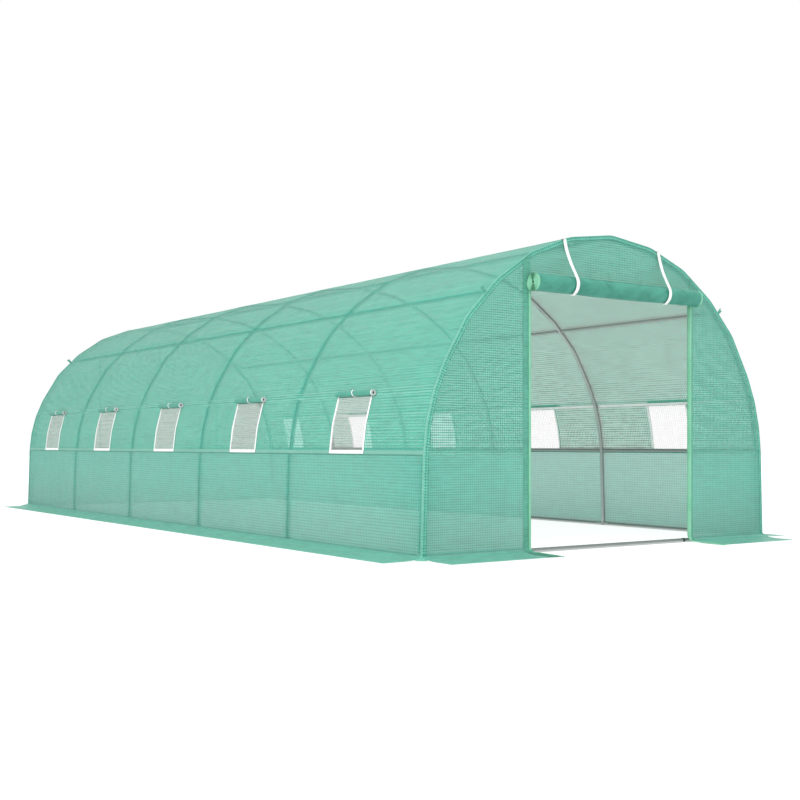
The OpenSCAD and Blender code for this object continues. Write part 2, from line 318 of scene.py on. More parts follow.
STRIP = film("strip_film", rgba(0.112, 0.40, 0.29), rgba(0.090, 0.338, 0.247), 0.965, 0.985,
             rgba(0.40, 0.40, 0.40), rgba(0.35, 0.30, 0.30), 0.05, 0.04, 0.0134, foot=(rgba(0.105, 0.38, 0.275), rgba(0.082, 0.315, 0.23)), uneven=0.12)
ROLLED = cloth("rolled_film", rgba(0.037, 0.225, 0.165), rgba(0.086, 0.395, 0.297), 0.005, 0.44, vary=0.5)
WHITE = cloth("white_webbing", rgba(0.78, 0.79, 0.78), rgba(0.93, 0.94, 0.93), 0.0022, 0.65)
GREY_EDGE = cloth("flap_edge_tape", rgba(0.50, 0.52, 0.52), rgba(0.80, 0.81, 0.81), 0.0022, 0.65)
COIL = cloth("roll_edge_tape", rgba(0.085, 0.265, 0.150), rgba(0.26, 0.62, 0.42), 0.0022, 0.6, vary=0.5)
ZIP = cloth("zip_binding", rgba(0.166, 0.49, 0.307), rgba(0.25, 0.58, 0.40), 0.0022, 0.6)
SEAM = cloth("seam_tape", rgba(0.185, 0.475, 0.376), rgba(0.225, 0.52, 0.42), 0.0022, 0.55)
BAND = cloth("rail_seam_band", rgba(0.150, 0.385, 0.308), rgba(0.178, 0.42, 0.340), 0.0022, 0.55)
LINING = cloth("seam_lining", rgba(0.74, 0.75, 0.75), rgba(0.88, 0.88, 0.88), 0.0022, 0.65)
# near black, for the threshold sleeves and for painted shade in the window rolls' hollow ends
PLUG_AND_HOLLOW_SHADE = cloth("tube_plug_and_hollow_shade", rgba(0.012, 0.022, 0.020), rgba(0.03, 0.045, 0.04), 0.004, 0.5)
THREAD = cloth("stitch_thread", rgba(0.040, 0.240, 0.175), rgba(0.060, 0.300, 0.220), 0.0015, 0.6)
RAIL_LINE = cloth("rail_band_dark_line", rgba(0.056, 0.225, 0.168), rgba(0.072, 0.26, 0.196), 0.0022, 0.55)
NET = net_material("insect_net")
STEEL = galvanised("galvanised_tube", rgba(0.36, 0.395, 0.383), rgba(0.425, 0.46, 0.448), 0.40)
BOLT = galvanised("zinc_bolt", rgba(0.22, 0.23, 0.24), rgba(0.42, 0.43, 0.44), 0.32)


# ---------------------------------------------------------------- mesh helpers
def build(name, verts, faces, mat, uv=None, smooth=True, slot=None, **marks):
    me = bpy.data.meshes.new(name)
    me.from_pydata([tuple(map(float, p)) for p in verts], [], [tuple(int(i) for i in f) for f in faces])
    if uv is not None:
        layer = me.uv_layers.new(name="weave")
        idx = np.empty(len(me.loops), dtype=np.int32)
        me.loops.foreach_get("vertex_index", idx)
        layer.data.foreach_set("uv", np.asarray(uv, dtype=np.float32)[idx].ravel())
    for key, value in marks.items():
        me.attributes.new(key, "FLOAT", "POINT").data.foreach_set("value", np.asarray(value, dtype=np.float32))
    me.polygons.foreach_set("use_smooth", [smooth] * len(me.polygons))
    me.materials.append(mat)
    me.update()
    ob = bpy.data.objects.new(name, me)
    scene.collection.objects.link(ob)
    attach(ob, "root")
    return ob


class Heap:
    """Many small solids gathered into one mesh."""

    def __init__(self):
        self.v, self.f, self.uv, self.outer, self.n = [], [], [], [], 0

    # outer holds painted shade (above zero) and painted highlight (below zero) read by the galvanised material
    def take(self, verts, faces, uv=None, outer=None):
        verts = np.asarray(verts, float)
        self.outer.append(np.zeros(len(verts)) if outer is None else np.asarray(outer, float))
        self.v.append(verts)
        self.f += [[i + self.n for i in f] for f in faces]
        self.uv.append(np.asarray(uv, float) if uv is not None else verts[:, :2] + verts[:, 2:3])
        self.n += len(verts)

    def build(self, name, mat, smooth=True, slot=None):
        outer = np.concatenate(self.outer)
        return build(name, np.vstack(self.v), self.f, mat, np.vstack(self.uv), smooth, slot, **({"outer": outer} if outer.any() else {}))


def grid_faces(rows, cols, skip=None):
    out = []
    for i in range(rows - 1):
        for j in range(cols - 1):
            if skip is None or not skip[i, j]:
                a = i * cols + j
                out.append((a, a + 1, a + cols + 1, a + cols))
    return out


def sweep(path, side, up, section, closed=True, caps=True):
    """Sweep a section (M,2), or one section per point (N,M,2), along a path. Each section point is
    side*first + up*second. Returns vertices, faces and UVs in metres."""
    path, side, up = (np.asarray(a, float) for a in (path, side, up))
    n = len(path)
    sec = np.asarray(section, float)
    if sec.ndim == 2:
        sec = np.repeat(sec[None], n, 0)
    m = sec.shape[1]
    verts = (path[:, None, :] + side[:, None, :] * sec[:, :, 0:1] + up[:, None, :] * sec[:, :, 1:2]).reshape(-1, 3)
    along = np.concatenate([[0], np.cumsum(np.linalg.norm(np.diff(path, axis=0), axis=1))])
    loop = np.vstack([sec[0], sec[0][:1]])
    around = np.concatenate([[0], np.cumsum(np.linalg.norm(np.diff(loop, axis=0), axis=1))])[:m]
    uv = np.stack([np.tile(around, n), np.repeat(along, m)], 1)
    faces = []
    last = m if closed else m - 1
    for i in range(n - 1):
        for j in range(last):
            a, b = i * m + j, i * m + (j + 1) % m
            faces.append((a, b, b + m, a + m))
    if closed and caps:
        faces.append(tuple(range(m - 1, -1, -1)))
        faces.append(tuple((n - 1) * m + j for j in range(m)))
    return verts, faces, uv


def circle(r, m):
    a = np.arange(m) * 2 * math.pi / m
    return np.stack([r * np.cos(a), r * np.sin(a)], 1)


def tape_section(w, t, x0=None):
    """Flat tape with rounded edges, w wide and t thick, lying on second = 0."""
    x0 = -w / 2 if x0 is None else x0
    e = min(t * 0.5, w * 0.2)
    return np.array([(x0, t * 0.25), (x0 + e * 0.5, 0.0), (x0 + w - e * 0.5, 0.0), (x0 + w, t * 0.25),
                     (x0 + w, t * 0.7), (x0 + w - e, t), (x0 + w / 2, t * 1.04), (x0 + e, t), (x0, t * 0.7)])


def smooth_path(points, per=8):
    """Catmull-Rom curve through points."""
    p = np.asarray(points, float)
    p = np.vstack([2 * p[0] - p[1], p, 2 * p[-1] - p[-2]])
    out = []
    for i in range(1, len(p) - 2):
        for t in np.linspace(0, 1, per, endpoint=False):
            a, b, c, d = p[i - 1], p[i], p[i + 1], p[i + 2]
            out.append(0.5 * (2 * b + (c - a) * t + (2 * a - 5 * b + 4 * c - d) * t * t + (3 * b - a - 3 * c + d) * t ** 3))
    out.append(p[-2])
    return np.array(out)


def waves(rng, count, low, high):
    """Coefficients of a seeded sum of sines with wavelengths from low to high."""
    lam = np.exp(rng.uniform(math.log(low), math.log(high), count))
    return np.stack([2 * math.pi / lam, rng.uniform(0, 2 * math.pi, count), rng.uniform(-1, 1, count),
                     rng.uniform(0.5, 1.0, count) * np.sqrt(lam / high)], 1)


def ripple(table, a, b, slant):
    """Ridges across a that lean along b."""
    s = np.zeros(np.broadcast(a, b).shape)
    for k, ph, lean, amp in table:
        s = s + amp * np.sin(k * (a + slant * lean * b) + ph)
    return s / math.sqrt(len(table))


def step(x, a, b):
    t = np.clip((np.asarray(x, float) - a) / (b - a), 0, 1)
    return t * t * (3 - 2 * t)


# ---------------------------------------------------------------- cover's cross-section
def rounded(points, radii, spacing, n=5):
    """Polyline with rounded corners and short steps, and the index of each corner's middle."""
    p = [np.array(q, float) for q in points]
    out, mids = [p[0]], [0]
    for i in range(1, len(p) - 1):
        a, b, c = p[i - 1], p[i], p[i + 1]
        la, lc = np.linalg.norm(b - a), np.linalg.norm(c - b)
        r = min(radii[i], 0.45 * la, 0.45 * lc)
        s, e = b + (a - b) / la * r, b + (c - b) / lc * r
        arc = [(1 - t) ** 2 * s + 2 * t * (1 - t) * b + t * t * e for t in np.linspace(0, 1, n)]
        gap = np.linalg.norm(arc[0] - out[-1])
        m = max(1, int(math.ceil(gap / spacing)))
        start = out[-1]
        out += [start + (arc[0] - start) * t for t in np.linspace(0, 1, m + 1)[1:-1]]
        mids.append(len(out) + n // 2)
        out += arc
    gap = np.linalg.norm(p[-1] - out[-1])
    m = max(1, int(math.ceil(gap / spacing)))
    start = out[-1]
    out += [start + (p[-1] - start) * t for t in np.linspace(0, 1, m + 1)[1:]]
    mids.append(len(out) - 1)
    return np.array(out), mids


def crease_x(z):
    return 1.48 + (1.50 - 1.48) * (0.62 - z) / 0.62


FOOT = [(crease_x(CREASE_Z), CREASE_Z), (1.540, 0.0105), (1.610, 0.0042), (1.770, 0.0028)]
HALF = [np.array(q) for q in ARCH[:9]] + [np.array(q) for q in FOOT]
HALF_R = [0.035] + [0.035] * 5 + [0.03, 0.03, 0.03] + [0.012, 0.03, 0.04, 0.0]
FULL = [np.array((-q[0], q[1])) for q in HALF[:0:-1]] + HALF
FULL_R = HALF_R[:0:-1] + HALF_R
CROSS, MIDS = rounded(FULL, FULL_R, 0.032)
APEX = len(HALF) - 1
PV = np.concatenate([[0], np.cumsum(np.linalg.norm(np.diff(CROSS, axis=0), axis=1))])
PV = PV - PV[MIDS[APEX]]
tan = np.gradient(CROSS, axis=0)
tan /= np.linalg.norm(tan, axis=1)[:, None]
NX, NZ = -tan[:, 1], tan[:, 0]


def corner_v(i):
    """Distance along the cover from the ridge to corner i of the right half."""
    return PV[MIDS[APEX + i]]


V_TOP, V_KINK, V_RAIL, V_CREASE, V_EDGE = corner_v(6), corner_v(7), corner_v(8), corner_v(9), PV[-1]
V_PURLIN = corner_v(3) + PURLIN_DROP
BAYS = np.array([-HALF_L] + HOOP_Y[1:-1] + [HALF_L])
SPANS = np.array([0.0, V_PURLIN, V_RAIL, V_CREASE])
rng = np.random.default_rng(7)
W_WALL, W_ROOF, W_SKIRT, W_END = waves(rng, 9, 0.10, 0.75), waves(rng, 9, 0.16, 1.1), waves(rng, 8, 0.14, 1.3), waves(rng, 9, 0.09, 0.6)


def disp(v, y):
    """How far the film stands off its drawn shape: a little slack in each bay, and soft creases."""
    v, y = np.broadcast_arrays(np.asarray(v, float), np.asarray(y, float))
    a = np.abs(v)
    k = np.clip(np.searchsorted(BAYS, y, "right") - 1, 0, len(BAYS) - 2)
    sy = np.sin(math.pi * np.clip((y - BAYS[k]) / (BAYS[k + 1] - BAYS[k]), 0, 1))
    j = np.clip(np.searchsorted(SPANS, a, "right") - 1, 0, len(SPANS) - 2)
    f = np.clip((a - SPANS[j]) / (SPANS[j + 1] - SPANS[j]), 0, 1)
    sv = np.sin(math.pi * f)
    side = np.where(v < 0, 1.7, 0.0)
    sag = np.where(j == 2, -0.0035, -0.0016) * np.maximum(sy, 0) ** 0.8 * np.maximum(sv, 0) ** 0.8
    ends = step(HALF_L - np.abs(y), 0.0, 0.25)
    wall = (j == 2) * 0.0016 * ripple(W_WALL, y + side, a, 0.35) * sv ** 0.6 * ends
    roof = (j < 2) * 0.0011 * ripple(W_ROOF, y + side, a, 0.8) * sv ** 0.7 * ends
    return sag + wall + roof


def surf(v, y, off=0.0):
    """Point of the cover at a distance v from the ridge and a place y, raised by off."""
    v, y = np.broadcast_arrays(np.asarray(v, float), np.asarray(y, float))
    nx, nz = np.interp(v, PV, NX), np.interp(v, PV, NZ)
    ln = np.hypot(nx, nz)
    d = disp(v, y) + off
    return np.stack([np.interp(v, PV, CROSS[:, 0]) + nx / ln * d, y, np.interp(v, PV, CROSS[:, 1]) + nz / ln * d], -1)


def normal_at(v):
    nx, nz = np.interp(v, PV, NX), np.interp(v, PV, NZ)
    ln = np.hypot(nx, nz)
    return np.stack([nx / ln, np.zeros_like(nx), nz / ln], -1)


# ---------------------------------------------------------------- main cover, one sheet
edges = sorted(y + e * WIN_W / 2 for y in WIN_Y[-1] + WIN_Y[1] for e in (-1, 1))
cols = [y for y in np.linspace(-HALF_L, HALF_L, 243) if min(abs(y - e) for e in edges) > 0.011]
cols = np.array(sorted(cols + edges))
rows = PV.copy()
vv, yy = np.meshgrid(rows, cols, indexing="ij")
points = surf(vv, yy)
skirt = np.abs(vv) > V_CREASE
lift = np.clip((np.abs(vv) - V_CREASE) / (V_EDGE - V_CREASE), 0, 1)
points[..., 2] += np.where(skirt, 0.0035 * np.maximum(0, ripple(W_SKIRT, yy + np.where(vv < 0, 2.3, 0), np.abs(vv), 0.5))
                           * np.sin(math.pi * np.clip(lift, 0, 1)) ** 0.7, 0)
hole = np.zeros((len(rows) - 1, len(cols) - 1), bool)
mid_v, mid_y = (rows[:-1] + rows[1:]) / 2, (cols[:-1] + cols[1:]) / 2
for side in (-1, 1):
    in_v = (side * mid_v > V_TOP) & (side * mid_v < V_RAIL)
    in_y = np.array([min(abs(y - w) for w in WIN_Y[side]) < WIN_W / 2 for y in mid_y])
    hole[np.ix_(in_v, in_y)] = True
used = np.zeros(vv.shape, bool)
used[:-1, :-1] |= ~hole; used[1:, :-1] |= ~hole; used[:-1, 1:] |= ~hole; used[1:, 1:] |= ~hole
index = np.cumsum(used.ravel()) - 1
faces = [tuple(index[i] for i in f[::-1]) for f in grid_faces(len(rows), len(cols), hole)]
cover = build("cover_sheet", points.reshape(-1, 3)[used.ravel()], faces, COVER,
              np.stack([yy.ravel(), vv.ravel()], 1)[used.ravel()], True, "cover_film",
              guard=(0.78 * step(np.abs(vv), V_RAIL + 0.004, V_RAIL + 0.044) + 0.075 * step(np.abs(vv), V_RAIL + 0.044, V_CREASE)
                     + 0.145 * step(np.abs(vv), V_CREASE, V_CREASE + 0.03)).ravel()[used.ravel()])
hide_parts("left_roof_cover", "right_roof_cover", "left_side_cover", "right_side_cover", "left_skirt", "right_skirt")

# ---------------------------------------------------------------- end panels
V_RIGHT = PV >= 0
ARC_X, ARC_Z = CROSS[V_RIGHT, 0], CROSS[V_RIGHT, 1]
arc_keep = ARC_Z >= CREASE_Z - 1e-4
ARC = np.stack([ARC_X, ARC_Z], 1)[arc_keep]
FOOT_PATH, _ = rounded([(0.0, 0.35), (0.0, CREASE_Z), (0.041, 0.0105), (0.112, 0.0042), (0.275, 0.0028)],
                       [0, 0.012, 0.03, 0.04, 0], 0.02)
foot_s = np.concatenate([[0], np.cumsum(np.linalg.norm(np.diff(FOOT_PATH, axis=0), axis=1))])
FOOT_LEN = foot_s[-1] - 0.322


def end_point(x, t, end):
    """Point of an end sheet: t is the height above the crease on the panel, and negative out along the skirt."""
    x, t = np.asarray(x, float), np.asarray(t, float)
    s = 0.322 - t
    out = np.where(s > 0, np.interp(s, foot_s, FOOT_PATH[:, 0]), 0.0)
    z = np.where(s > 0, np.interp(s, foot_s, FOOT_PATH[:, 1]), CREASE_Z + t)
    return np.stack([x, end * (HALF_L + out), z], -1)


def inside(poly, pts):
    x, y = pts[:, 0], pts[:, 1]
    hit = np.zeros(len(pts), bool)
    j = len(poly) - 1
    for i in range(len(poly)):
        (x0, y0), (x1, y1) = poly[i], poly[j]
        if y0 != y1:
            hit ^= ((y0 > y) != (y1 > y)) & (x < (x1 - x0) * (y - y0) / (y1 - y0) + x0)
        j = i
    return hit


def edge_gap(poly, pts):
    best = np.full(len(pts), 1e9)
    for a, b in zip(poly, np.roll(poly, -1, 0)):
        d = b - a
        t = np.clip(((pts - a) @ d) / max(d @ d, 1e-12), 0, 1)
        best = np.minimum(best, np.linalg.norm(pts - a - t[:, None] * d, axis=1))
    return best


def dense(poly, spacing):
    out = []
    for a, b in zip(poly, np.roll(poly, -1, 0)):
        m = max(1, int(math.ceil(np.linalg.norm(b - a) / spacing - 1e-6)))
        out += [a + (b - a) * i / m for i in range(m)]
    return np.array(out)


def flat_mesh(poly, spacing):
    poly = dense(np.asarray(poly, float), spacing)
    lo, hi = poly.min(0), poly.max(0)
    gx, gy = np.meshgrid(np.arange(lo[0] + spacing / 2, hi[0], spacing), np.arange(lo[1] + spacing / 2, hi[1], spacing))
    pts = np.stack([gx.ravel(), gy.ravel()], 1)
    pts = pts[inside(poly, pts)]
    pts = pts[edge_gap(poly, pts) > spacing * 0.45]
    allp = np.vstack([poly, pts])
    res = delaunay_2d_cdt([Vector(p) for p in allp], [], [list(range(len(poly)))], 1, 1e-7)
    return np.array([tuple(p) for p in res[0]]), [tuple(f) for f in res[2]], poly


def end_sheet(name, poly, end, seed, amp, mat=PANEL, spacing=0.026, fold=None, front=0.0):
    p2, tris, rim = flat_mesh(poly, spacing)
    p3 = end_point(p2[:, 0], p2[:, 1], end)
    mask = step(edge_gap(rim, p2), 0.0, 0.14)
    move = amp * ripple(W_END, p2[:, 0] + seed, p2[:, 1], 0.30)
    if fold is not None:
        move = move - 0.0035 * np.exp(-((p2[:, 0] - fold) / 0.012) ** 2)
    up = step(p2[:, 1], 0.0, 0.05)
    p3[:, 1] += end * (move * mask * up + front)
    p3[:, 2] += np.where(p2[:, 1] < 0, 0.003 * mask * np.maximum(0, ripple(W_SKIRT, p2[:, 0] + seed, p2[:, 1], 0.5)), 0)
    a, b, c = (p3[[f[i] for f in tris]] for i in range(3))
    flip = np.cross(b - a, c - a)[:, 1] * end + np.cross(b - a, c - a)[:, 2] < 0
    tris = [f[::-1] if w else f for f, w in zip(tris, flip)]
    guard = (0.78 * step(-p2[:, 1], -0.62 + CREASE_Z, -0.58 + CREASE_Z) + 0.075 * step(-p2[:, 1], -0.58 + CREASE_Z, 0.0)
             + 0.145 * step(-p2[:, 1], 0.0, 0.03))
    return build(name, p3, tris, mat, p2, True, "cover_film", guard=guard), p2


def arch_z(x):
    return float(np.interp(abs(x), ARC[:, 0], ARC[:, 1]))


def side_poly(side):
    jamb = JAMB[side]
    top = [(jamb, arch_z(jamb) - CREASE_Z)]
    run = [(x, z - CREASE_Z) for x, z in ARC if x > jamb + 0.004]
    base = [(crease_x(CREASE_Z), -FOOT_LEN), (jamb, -FOOT_LEN)]
    return np.array(top + run + base) * np.array([side, 1.0])


def top_poly(low):
    half_ = {}
    for e in (-1, 1):
        half_[e] = [(e * x, z - CREASE_Z) for x, z in ARC if x < JAMB[e] - 0.004] + \
                   [(e * JAMB[e], arch_z(JAMB[e]) - CREASE_Z), (e * JAMB[e], low - CREASE_Z)]
    return np.array(half_[1] + half_[-1][:0:-1])


front_left, _ = end_sheet("front_left_sheet", side_poly(-1), -1, 0.3, 0.0022)
front_right, _ = end_sheet("front_right_sheet", side_poly(1), -1, 3.1, 0.0026)
front_top, _ = end_sheet("front_top_sheet", top_poly(ROLL_Z - 0.002), -1, 5.7, 0.0018, fold=0.0)
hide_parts("front_left_panel", "front_left_skirt")
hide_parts("front_right_panel", "front_right_skirt")
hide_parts("front_top_panel")
back_left, _ = end_sheet("back_left_sheet", side_poly(-1), 1, 8.2, 0.0022)
back_right, _ = end_sheet("back_right_sheet", side_poly(1), 1, 6.4, 0.0024)
back_door, _ = end_sheet("back_door_sheet", top_poly(CREASE_Z + 0.002), 1, 2.2, 0.0034, fold=0.0)
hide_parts("back_left_panel", "back_left_skirt")
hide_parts("back_right_panel", "back_right_skirt")
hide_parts("back_top_panel", "back_door_panel")


# corner gussets: the wall's foot turns the corner between a side skirt and an end skirt
gus = Heap()
fp = FOOT_PATH[(FOOT_PATH[:, 0] < 0.075) & (FOOT_PATH[:, 1] < CREASE_Z + 0.02)]
for side in (-1, 1):
    for end in (-1, 1):
        rings = []
        turn = [(0.0, 0.028, 0.0)] + [(a, 0.0, 0.0) for a in np.linspace(0, math.pi / 2, 9)] + [(math.pi / 2, 0.0, 0.028)]
        for ang, back_y, back_x in turn:
            reach = 0.066 - 0.030 * math.sin(2 * ang)
            o = np.minimum(fp[:, 0], reach)
            z = np.interp(o, FOOT_PATH[:, 0], FOOT_PATH[:, 1])
            drop = math.sin(2 * ang) ** 0.5 if 0 < ang < 1.57 else 0.0
            z = np.where(fp[:, 0] <= 1e-6, fp[:, 1], z + (0.0022 - z) * step(o, reach - 0.034, reach) * drop + 0.0012)
            x = crease_x(CREASE_Z) - 0.0005
            rings.append(np.stack([side * (x - back_x + o * math.cos(ang)), end * (HALF_L - 0.0005 - back_y + o * math.sin(ang)), z], 1))
        r_ = np.stack(rings, 0)
        fs = grid_faces(len(turn), len(fp))
        gus.take(r_.reshape(-1, 3), fs if side * end < 0 else [f[::-1] for f in fs],
                 np.stack([np.repeat(np.linspace(0, 0.09, len(turn)), len(fp)), np.tile(fp[:, 0] + fp[:, 1], len(turn))], 1))
gussets = build("corner_gussets", np.vstack(gus.v), gus.f, COVER, np.vstack(gus.uv), True, "cover_film", guard=np.ones(gus.n))

# ---------------------------------------------------------------- hems and seams on the cover
def arch_hem(name, end):
    """Doubled edge where an end panel is sewn to the cover, folded round the end arch."""
    keep = np.abs(PV) <= V_CREASE
    v = PV[keep]
    n = normal_at(v)
    p = surf(v, np.full_like(v, end * HALF_L))
    yv = np.array([0.0, end, 0.0])
    rows_ = [surf(v, np.full_like(v, end * (HALF_L - q)), 0.0013) for q in (0.020, 0.014, 0.008, 0.003)]
    rows_ += [p + n * 0.0014 + yv * 0.0004, p + n * 0.0002 + yv * 0.0017, p - n * 0.012 + yv * 0.0019, p - n * 0.0245 + yv * 0.0016]
    across = [0.0, 0.006, 0.012, 0.017, 0.020, 0.022, 0.034, 0.0465]
    verts = np.stack(rows_, 0).reshape(-1, 3)
    uv = np.stack([np.repeat(across, len(v)), np.tile(v, len(rows_))], 1)
    fs = grid_faces(len(rows_), len(v))
    if end < 0:
        fs = [f[::-1] for f in fs]
    return build(name, verts, fs, HEM, uv, True, "cover_film", guard=np.repeat([0, 0, 0, 0, 0, 1, 1, 1], len(v)))


front_hem, back_hem = arch_hem("front_arch_hem", -1), arch_hem("back_arch_hem", 1)


def stitches(heap, p, along, up, length, width, height):
    """One stitch: a small rounded bar lying on a surface."""
    side = np.cross(up, along)
    a, b = p - along * length / 2, p + along * length / 2
    ring = []
    for q, s in ((a, 0.55), (p, 1.0), (b, 0.55)):
        for cx, cz in ((-1, 0.0), (-0.6, 0.8), (0.6, 0.8), (1, 0.0)):
            ring.append(q + side * cx * width / 2 * s + up * cz * height * s)
    fs = []
    for i in range(2):
        for j in range(4):
            x, y_ = i * 4 + j, i * 4 + (j + 1) % 4
            fs.append((x, y_, y_ + 4, x + 4))
    fs += [(3, 2, 1, 0), (8, 9, 10, 11)]
    heap.take(ring, fs)


sew = Heap()
for end in (-1, 1):
    yv = np.array([0.0, end, 0.0])
    for v in np.arange(-V_CREASE + 0.01, V_CREASE, 0.017):
        n = normal_at(np.array(v))
        p = surf(v, end * HALF_L)
        q = surf(v + 0.004, end * HALF_L)
        t = (q - p) / np.linalg.norm(q - p)
        stitches(sew, p - n * 0.0056 + yv * 0.0020, t, yv, 0.0095, 0.0105, 0.0014)
        stitches(sew, p - n * 0.0225 + yv * 0.0017, t, yv, 0.0090, 0.0075, 0.0012)
    for side in (-1, 1):
        for x in np.arange(JAMB[side] + 0.06, 1.49, 0.0145):
            p = end_point(side * x, 0.006, end) + yv * 0.0006
            stitches(sew, p, np.array([1.0, 0, 0]), yv, 0.0110, 0.0092, 0.0012)


def strip_on_cover(name, v0, v1, y0, y1, off, mat, slot):
    ys = np.arange(y0, y1 + 0.02, 0.04)
    ys = np.linspace(y0, y1, len(ys))
    vs = np.linspace(v0, v1, 4)
    a, b = np.meshgrid(vs, ys, indexing="ij")
    p = surf(a, b, off)
    return build(name, p.reshape(-1, 3), [f[::-1] for f in grid_faces(4, len(ys))], mat,
                 np.stack([b.ravel(), a.ravel()], 1), True, slot)


for nm, s in (("left", -1), ("right", 1)):
    for part, v0, v1 in (("upper", V_TOP - 0.0455, V_TOP - 0.0420), ("lower", V_TOP - 0.0285, V_TOP - 0.0250)):
        strip_on_cover("%s_%s_seam_cord" % (nm, part), min(s * v0, s * v1), max(s * v0, s * v1),
                                         -HALF_L + 0.002, HALF_L - 0.002, 0.0013, SEAM, "cover_film")
    # the band, and a dark line along its lower edge
    for part, v0, v1, mat in (("band", V_RAIL - 0.0090, V_RAIL + 0.0128, BAND), ("edge", V_RAIL + 0.0128, V_RAIL + 0.0222, RAIL_LINE)):
        strip_on_cover("%s_rail_seam_%s" % (nm, part), min(s * v0, s * v1), max(s * v0, s * v1),
                                         -HALF_L + 0.002, HALF_L - 0.002, 0.0007, mat, "cover_film")
    strip_on_cover(nm + "_seam_lining", min(s * (V_TOP - 0.024), s * (V_TOP - 0.004)),
                                     max(s * (V_TOP - 0.024), s * (V_TOP - 0.004)),
                                     -HALF_L + 0.03, HALF_L - 0.03, -0.0018, LINING, "white_webbing")


def jamb_hem(name, side, end, start, width):
    """Doubled strip of film beside the doorway, running on along the skirt's edge."""
    x0, x1 = JAMB[side] + start, JAMB[side] + start + width
    xs = np.linspace(x0, x1, 4)
    top = np.array([arch_z(x) - CREASE_Z - 0.003 for x in xs])
    up_t = np.linspace(0, 1, 60)
    down_t = np.concatenate([np.linspace(-FOOT_LEN, -0.07, 12, endpoint=False), np.linspace(-0.07, 0.0, 14, endpoint=False)])
    rows_t = np.concatenate([np.repeat(down_t[:, None], 4, 1), up_t[:, None] * top[None, :]], 0)
    b = np.repeat(xs[None, :], len(rows_t), 0)
    p = end_point(side * b, rows_t, end)
    above = rows_t > 0
    p[..., 1] += end * np.where(above, 0.0024 + 0.0010 * np.sin(rows_t * 9.0 + side) * np.sin(rows_t * 23.0), 0.0016)
    p[..., 2] += np.where(above, 0.0, 0.0032)
    fs = grid_faces(len(rows_t), 4)
    if side * end < 0:
        fs = [f[::-1] for f in fs]
    return build(name, p.reshape(-1, 3), fs, STRIP, np.stack([b.ravel(), rows_t.ravel()], 1), True, "cover_film")


jamb_hems = [jamb_hem("front_left_jamb_hem", -1, -1, 0.0, 0.058), jamb_hem("front_right_jamb_hem", 1, -1, 0.0, 0.027)]
stitching = sew.build("seam_stitching", THREAD, True, "rolled_film")


# ---------------------------------------------------------------- zip binding on the jambs
def jamb_binding(name, side, end, curl):
    """Folded tape over the panel's edge; on the open front it runs on along the skirt's edge."""
    r = 0.035
    top = 1.612 if curl else 1.592
    pts = [(0.0, z) for z in np.linspace(top, 0.012 + r, 40)]
    if curl:
        pts += [(r - r * math.cos(a), 0.012 + r - r * math.sin(a)) for a in np.linspace(0, math.pi / 2, 9)[1:]]
        pts += [(r + (0.300 - r) * k, 0.012 - 0.0075 * k) for k in np.linspace(0, 1, 14)[1:]]
    else:
        pts += [(0.0, z) for z in np.linspace(0.012 + r, 0.012, 4)[1:]]
    pts = np.array(pts)
    path = np.stack([np.full(len(pts), side * JAMB[side]), end * (HALF_L + 0.003 + pts[:, 0]), pts[:, 1]], 1)
    d = np.gradient(pts, axis=0)
    d /= np.linalg.norm(d, axis=1)[:, None]
    up = np.stack([np.zeros(len(pts)), end * -d[:, 1], d[:, 0]], 1)
    sd = np.tile(np.array([float(side), 0.0, 0.0]), (len(pts), 1))
    down = np.concatenate([[0], np.cumsum(np.linalg.norm(np.diff(pts, axis=0), axis=1))])
    bend = top - 0.012 - r
    fade = 1 - step(down, bend - 0.02, bend + 0.06)
    thin = 1 - 0.55 * step(down, bend + 0.05, down[-1]) if curl else np.ones(len(pts))
    secs = []
    for f, t in zip(fade, thin):
        back = (-0.0225 * f - 0.0022 * (1 - f)) if curl else -0.0022
        w = ((0.0165 if side < 0 else 0.0125) if curl else 0.0062) * t
        secs.append([(w, 0.0008), (w, 0.0030), (w - 0.002, 0.0042), (0.002, 0.0046), (-0.0010, 0.0036), (-0.0022, 0.0010),
                     (-0.0024, back * 0.5), (-0.0022, back), (-0.0002, back - 0.0006), (0.0006, back + 0.0006),
                     (0.0008, min(0.0, back * 0.5 + 0.0008)), (0.0012, 0.0006)])
    v, f, uv = sweep(path, sd, up, np.array(secs))
    if side * end > 0:
        f = [q[::-1] for q in f]
    return v, f, uv


bind = Heap()
for s in (-1, 1):
    bind.take(*jamb_binding("", s, -1, True))
front_bindings = bind.build("front_jamb_bindings", ZIP, True, "zip_binding")
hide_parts("front_door_bindings")
bind = Heap()
for s in (-1, 1):
    bind.take(*jamb_binding("", s, 1, False))
back_bindings = bind.build("back_jamb_bindings", ZIP, True, "zip_binding")
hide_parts("back_door_zips")


# ---------------------------------------------------------------- rolled-up door
W_ROLL, W_DENT = waves(rng, 9, 0.05, 0.5), waves(np.random.default_rng(31), 10, 0.07, 0.30)


def spiral_angles(r_out, r_in, pitch):
    turns = (r_out - r_in) / pitch
    n = int(turns * 44)
    phi = np.linspace(0, turns * 2 * math.pi, n + 1)
    return phi, r_out - pitch * phi / (2 * math.pi)


